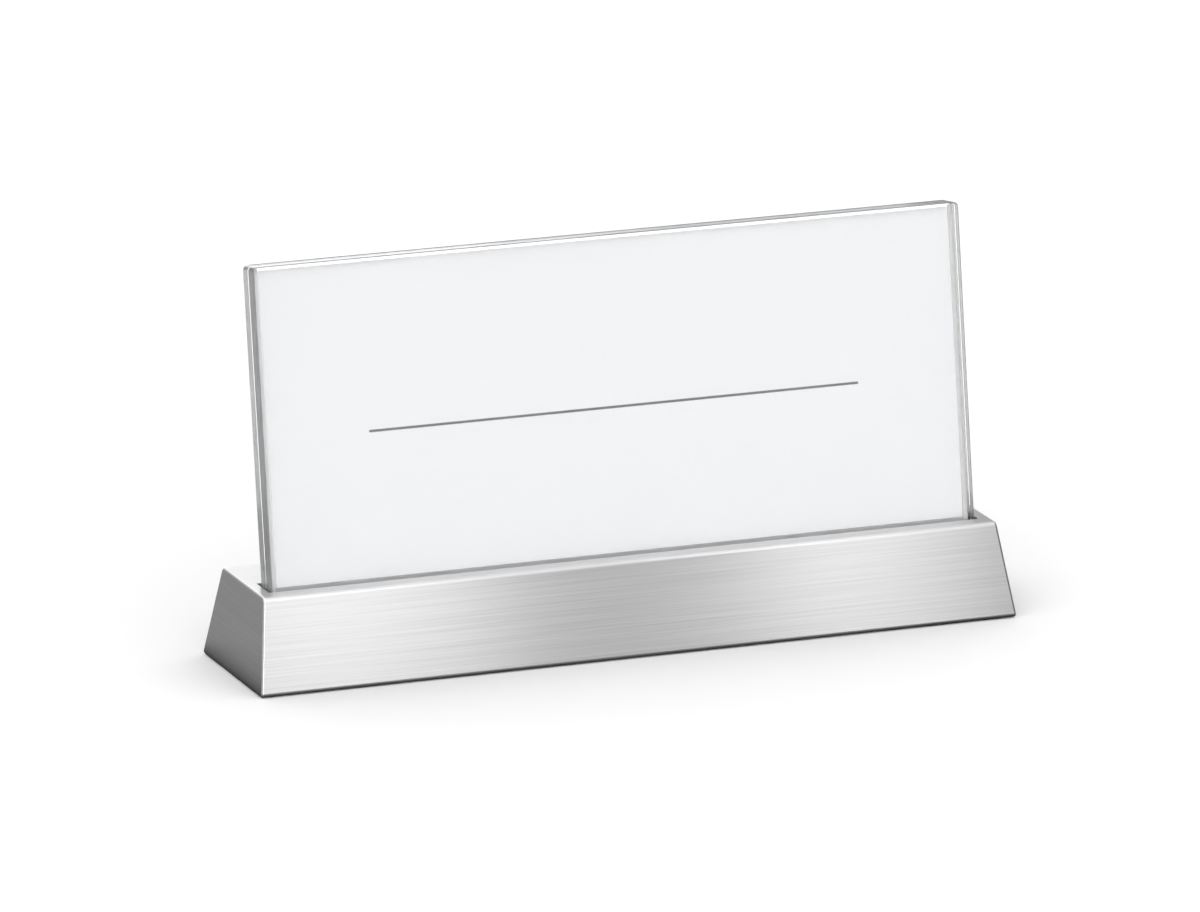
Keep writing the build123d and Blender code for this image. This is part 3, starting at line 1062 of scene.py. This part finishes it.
def buildFloor(look):
    material, wire = newMaterial("paleFloor")
    path = wire.add("ShaderNodeLightPath")
    place = objectCoords(wire)
    split = place.add("ShaderNodeSeparateXYZ", {}, {0: place})
    behind = (split.out("Y") / look["contactReach"]).clamped()
    plain = path.out("Glossy Depth").clamped() * (look["inGlass"] - look["tint"]) + look["tint"]
    onMatte = behind * (look["toBack"] - look["toMatte"]) + look["toMatte"]
    tint = path.out("Diffuse Depth").clamped() * (onMatte - plain) + plain
    # the floor as the steel mirrors it: painted shade to the right of the plate and a painted contact
    # shadow beside it
    away = wire.maths("MAXIMUM", split.size() - cadBox[1].x, split.out("Y").size() - cadBox[1].y)
    beside = (away / look["contactReach"]).clamped()
    right = (split / cadBox[1].x).clamped()
    level = right * (look["rightShadeInSteel"] - look["inSteel"]) + look["inSteel"]
    mirroredShade = beside * (level - look["contactShadowInSteel"]) + look["contactShadowInSteel"]
    dim = wire.add("ShaderNodeBsdfDiffuse", {}, {"Color": mirroredShade})
    bright = wire.add("ShaderNodeBsdfDiffuse", {}, {"Color": tint})
    both = wire.add("ShaderNodeMixShader", {}, {0: seenInSteel(path), 1: bright, 2: dim})
    wire.add("ShaderNodeOutputMaterial", {}, {"Surface": both})
    bm = bmesh.new()
    bmesh.ops.create_circle(bm, cap_ends=True, segments=look["segments"], radius=look["radius"])
    mesh = bpy.data.meshes.new("floor")
    bm.to_mesh(mesh)
    bm.free()
    mesh.materials.append(material)
    floor = bpy.data.objects.new("floor", mesh)
    scene.collection.objects.link(floor)


def steelSky(way, look):  # what the steel mirrors, by direction
    toRight = way.add("ShaderNodeSeparateXYZ", {}, {0: way})
    toBack = toRight.out("Y")
    height = toRight.out("Z") * 0.5 + 0.5
    level = height.add("ShaderNodeValToRGB", {"stops": look["inSteel"]}, {0: height})
    shade = toRight.fallen(*look["leftFrom"]) * look["leftShade"] + look["backShade"]
    level = level * (1 - (toBack * look["backRise"]).clamped() * shade)
    around = height.add("ShaderNodeValToRGB", {"stops": look["around"]}, {0: height})
    around = around * ((toBack * look["aroundRise"]).clamped() * look["aroundBack"] + 1)
    around = around * (1 - toRight.risen(*look["rightFrom"]) * look["aroundRight"])
    offRing = (toRight - look["ringX"]).size().risen(look["ringHalf"], look["ringFade"])
    elsewhere = offRing * (1 - toBack.risen(*look["endBack"]) * toRight.fallen(*look["endLeft"]))
    return level * (1 - elsewhere) + around * elsewhere


def buildSky(look):
    world = bpy.data.worlds.new("softSky")
    world.use_nodes = True
    world.node_tree.nodes.clear()
    wire = Wire(world.node_tree)
    way = wire.add("ShaderNodeTexCoord", {}, {}, output="Generated")
    path = wire.add("ShaderNodeLightPath")
    facing = {0: way, 1: look["keyWay"]}
    key = way.add("ShaderNodeVectorMath", {"operation": "DOT_PRODUCT"}, facing, output="Value").clamped()
    toCard = path.out("Diffuse Depth").clamped() * path.out("Transmission Depth").clamped()
    strength = (key * key * look["keyLight"] + look["level"]) * (toCard * (look["toCard"] - 1) + 1)
    white = (1, 1, 1, 1)
    even = wire.add("ShaderNodeBackground", {}, {"Color": white, "Strength": strength})
    mirrored = wire.add("ShaderNodeBackground", {}, {"Color": white, "Strength": steelSky(way, look)})
    both = wire.add("ShaderNodeMixShader", {}, {0: seenInSteel(path), 1: even, 2: mirrored})
    wire.add("ShaderNodeOutputWorld", {}, {"Surface": both})
    world.cycles.sampling_method = "NONE"  # so each kind of ray meets its own sky
    scene.world = world


def softbox(name, centre, aim, width, height, level):
    lamp = bpy.data.lights.new(name, "AREA")
    lamp.shape = "RECTANGLE"
    lamp.size = width
    lamp.size_y = height
    lamp.energy = level * math.pi * width * height  # level is what a mirror would show
    box = bpy.data.objects.new(name, lamp)
    box.location = centre
    box.rotation_euler = (Vector(aim) - Vector(centre)).to_track_quat("-Z", "Y").to_euler()
    box.visible_camera = False
    box.visible_diffuse = False  # for the shine only
    box.visible_transmission = False
    scene.collection.objects.link(box)


buildFloor(floorLook)
buildSky(skyLook)
for name, sizes in softboxLook.items():
    softbox(name, *sizes)
print("stage: floor, sky and softboxes")

# Camera: where the photograph was taken from
cameraLook = {
    "azimuth": -21.22,
    "elevation": 15.10,
    "distance": 3.236,
    "lens": 338.8,
    "sensor": 36.0,
    "aim": (1.62 * mm, 13.76 * mm, 49.72 * mm),
    "clipEnd": 100.0,
}


def buildCamera(look):
    azimuth = math.radians(look["azimuth"])
    elevation = math.radians(look["elevation"])
    level = math.cos(elevation)
    away = Vector((math.sin(azimuth) * level, -math.cos(azimuth) * level, math.sin(elevation)))
    lens = bpy.data.cameras.new("camera")
    lens.lens = look["lens"]
    lens.sensor_width = look["sensor"]
    lens.clip_end = look["clipEnd"]
    camera = bpy.data.objects.new("camera", lens)
    camera.location = Vector(look["aim"]) + away * look["distance"]
    camera.rotation_euler = (-away).to_track_quat("-Z", "Y").to_euler()
    scene.collection.objects.link(camera)
    scene.camera = camera


buildCamera(cameraLook)
scene.view_settings.view_transform = "Standard"
scene.cycles.use_denoising = True
scene.cycles.caustics_reflective = False
scene.cycles.max_bounces = 128  # light runs along inside the panes
scene.cycles.glossy_bounces = 96
scene.cycles.transmission_bounces = 32
print("camera set")
